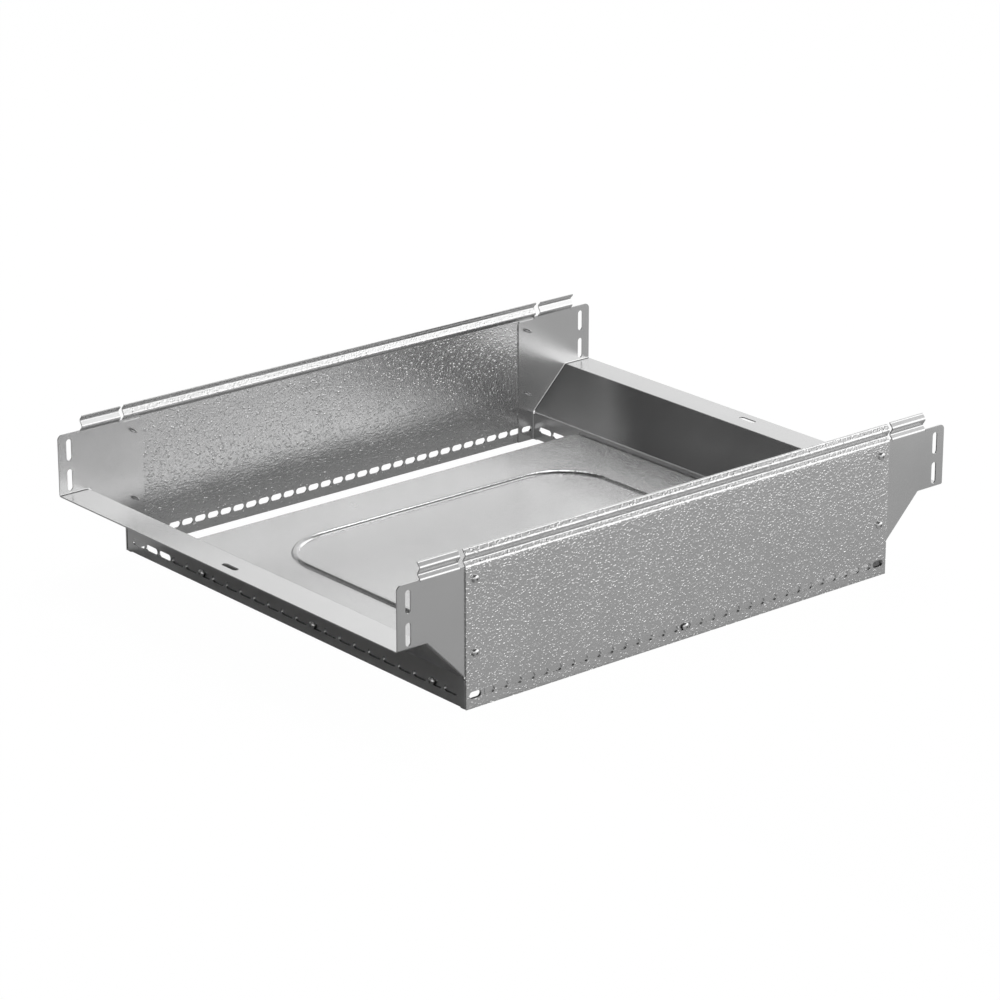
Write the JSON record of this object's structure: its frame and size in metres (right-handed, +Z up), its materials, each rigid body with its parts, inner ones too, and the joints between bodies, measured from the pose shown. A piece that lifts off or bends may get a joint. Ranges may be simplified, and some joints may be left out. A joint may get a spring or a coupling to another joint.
{
  "type": "vertical cable tray tee",
  "caption": "Galvanised cable tray section with stepped lips, whose floor drops into a slotted box with an open gap at the rear for a tray that branches off downwards.",
  "frame": {"origin": "middle of the rectangle that bounds the piece, at the level of the rim on which the two walls stand", "axes": "+X along the tray's run, +Y across the tray from the front wall to the rear wall, +Z up towards the lips"},
  "size_m": [0.774, 0.6064, 0.1733],
  "materials": {
    "wall_sheet": "galvanised, with a coarse uneven zinc surface",
    "end_sheet": "galvanised, smooth",
    "floor_sheet": "galvanised, faintly mottled",
    "screw_steel": "zinc plated"
  },
  "bodies": {
    "root": {"front_wall": "wall_sheet", "rear_wall": "wall_sheet", "left_end": "end_sheet", "right_end": "end_sheet", "floor_plate": "floor_sheet", "front_wall_screw_1": "screw_steel", "front_wall_screw_2": "screw_steel", "front_wall_screw_3": "screw_steel", "front_wall_screw_4": "screw_steel", "rear_wall_screw_1": "screw_steel", "rear_wall_screw_2": "screw_steel", "rear_wall_screw_3": "screw_steel", "rear_wall_screw_4": "screw_steel", "left_end_screw_1": "screw_steel", "left_end_screw_2": "screw_steel", "left_end_screw_3": "screw_steel", "right_end_screw_1": "screw_steel", "right_end_screw_2": "screw_steel", "right_end_screw_3": "screw_steel", "floor_plate_screw": "screw_steel"}
  },
  "joints": []
}
